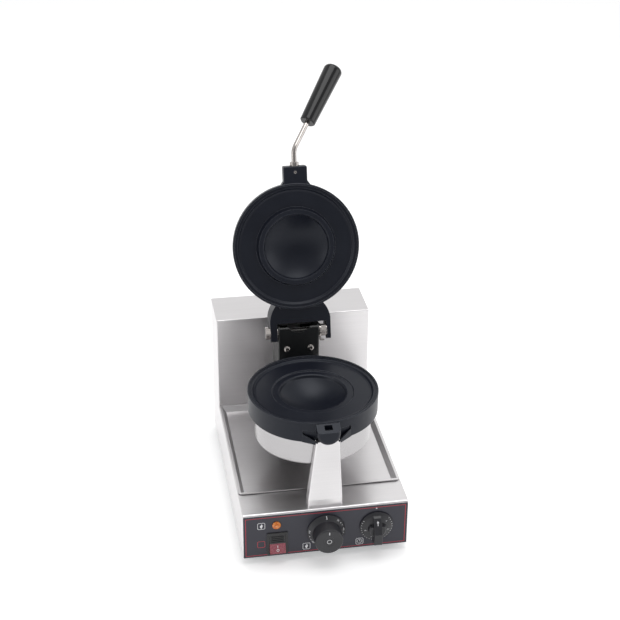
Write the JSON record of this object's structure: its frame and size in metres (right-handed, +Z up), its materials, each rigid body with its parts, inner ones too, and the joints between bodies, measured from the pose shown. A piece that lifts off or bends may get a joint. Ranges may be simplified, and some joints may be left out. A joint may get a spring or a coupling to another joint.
{
  "type": "round plate press iron",
  "caption": "Counter-top electric press iron with round smooth non-stick plates, a hinged upper plate with a bent handle, drip tray, dial thermostat, timer and rocker switch.",
  "frame": {"origin": "on the counter, under the middle of the open machine's bounding box", "axes": "+Z up, +X to the user's right when facing the controls, +Y from the controls to the back"},
  "size_m": [0.254, 0.4662, 0.6437],
  "materials": {
    "brushed_stainless": "brushed stainless sheet, horizontal grain",
    "galvanised_sheet": "dull zinc-coated sheet",
    "bright_fastener": "bright plated steel",
    "cast_nonstick": "cast aluminium with a satin black non-stick coat",
    "black_steel": "satin black powder coat",
    "panel_overlay": "printed dark grey laminate",
    "knob_plastic": "satin black phenolic",
    "grip_plastic": "polished black phenolic",
    "switch_plastic": "black nylon",
    "lamp_amber": "translucent amber",
    "rocker_red": "translucent red",
    "rubber_foot": "moulded rubber",
    "heater_sheath": "oxidised heater sheath",
    "ceramic_fibre": "pressed ceramic fibre",
    "ceramic_terminal": "glazed ceramic",
    "relay_plastic": "moulded black case",
    "control_case": "moulded control housing",
    "gland_nylon": "black nylon"
  },
  "bodies": {
    "base": {"base_housing": "brushed_stainless", "control_panel": "panel_overlay", "bottom_cover": "galvanised_sheet", "foot_front_left": "rubber_foot", "foot_rear_left": "rubber_foot", "foot_front_right": "rubber_foot", "foot_rear_right": "rubber_foot", "foot_screws": "bright_fastener", "foot_nuts": "bright_fastener", "rear_housing": "brushed_stainless", "rear_panel": "brushed_stainless", "rear_panel_screws": "bright_fastener", "cable_gland": "gland_nylon", "cable_gland_nut": "gland_nylon", "drip_tray": "brushed_stainless", "terminal_block": "ceramic_terminal", "contactor": "relay_plastic", "pilot_lamp_lens": "lamp_amber", "pilot_lamp_body": "switch_plastic", "switch_body": "switch_plastic", "thermostat_body": "control_case", "timer_body": "control_case", "control_screws": "bright_fastener", "lower_plate": "cast_nonstick", "lower_drum": "brushed_stainless", "lower_heating_element": "heater_sheath", "lower_insulation": "ceramic_fibre", "lower_studs": "bright_fastener", "lower_cap_nuts": "bright_fastener", "front_leg": "brushed_stainless", "front_leg_screws": "bright_fastener", "hinge_bracket": "black_steel", "bracket_stiffener": "black_steel", "bracket_screws": "bright_fastener", "bracket_bolts": "bright_fastener", "hinge_backing_plate": "galvanised_sheet", "heater_conduit": "galvanised_sheet", "conduit_nuts": "bright_fastener"},
    "lid": {"upper_plate": "cast_nonstick", "upper_cover": "brushed_stainless", "upper_heating_element": "heater_sheath", "upper_insulation": "ceramic_fibre", "upper_studs": "bright_fastener", "upper_cap_nuts": "bright_fastener", "upper_cable_bush": "rubber_foot", "hinge_pin": "bright_fastener", "hinge_spacer": "bright_fastener", "hinge_washers": "bright_fastener", "hinge_nut": "bright_fastener", "handle_rod": "bright_fastener", "handle_lock_nut": "bright_fastener", "handle_set_screw": "bright_fastener", "handle_grip": "grip_plastic"},
    "rocker": {"switch_rocker": "switch_plastic", "switch_rocker_lens": "rocker_red"},
    "thermostat_dial": {"thermostat_knob": "knob_plastic", "thermostat_shaft": "bright_fastener"},
    "timer_dial": {"timer_knob": "knob_plastic", "timer_shaft": "bright_fastener"}
  },
  "joints": [
    {"name": "lid_hinge", "type": "hinge", "parent": "base", "child": "lid", "pos_m": [0, 0.06295, 0.25], "axis": [1, 0, 0], "range_deg": [0, 105]},
    {"name": "rocker_tilt", "type": "hinge", "parent": "base", "child": "rocker", "pos_m": [-0.0745, -0.20205, 0.0355], "axis": [1, 0, 0], "range_deg": [0, 24]},
    {"name": "thermostat_turn", "type": "hinge", "parent": "base", "child": "thermostat_dial", "pos_m": [0, -0.20305, 0.0505], "axis": [0, 1, 0], "range_deg": [0, 300]},
    {"name": "timer_turn", "type": "hinge", "parent": "base", "child": "timer_dial", "pos_m": [0.0775, -0.20305, 0.0505], "axis": [0, 1, 0], "range_deg": [0, 330]}
  ]
}
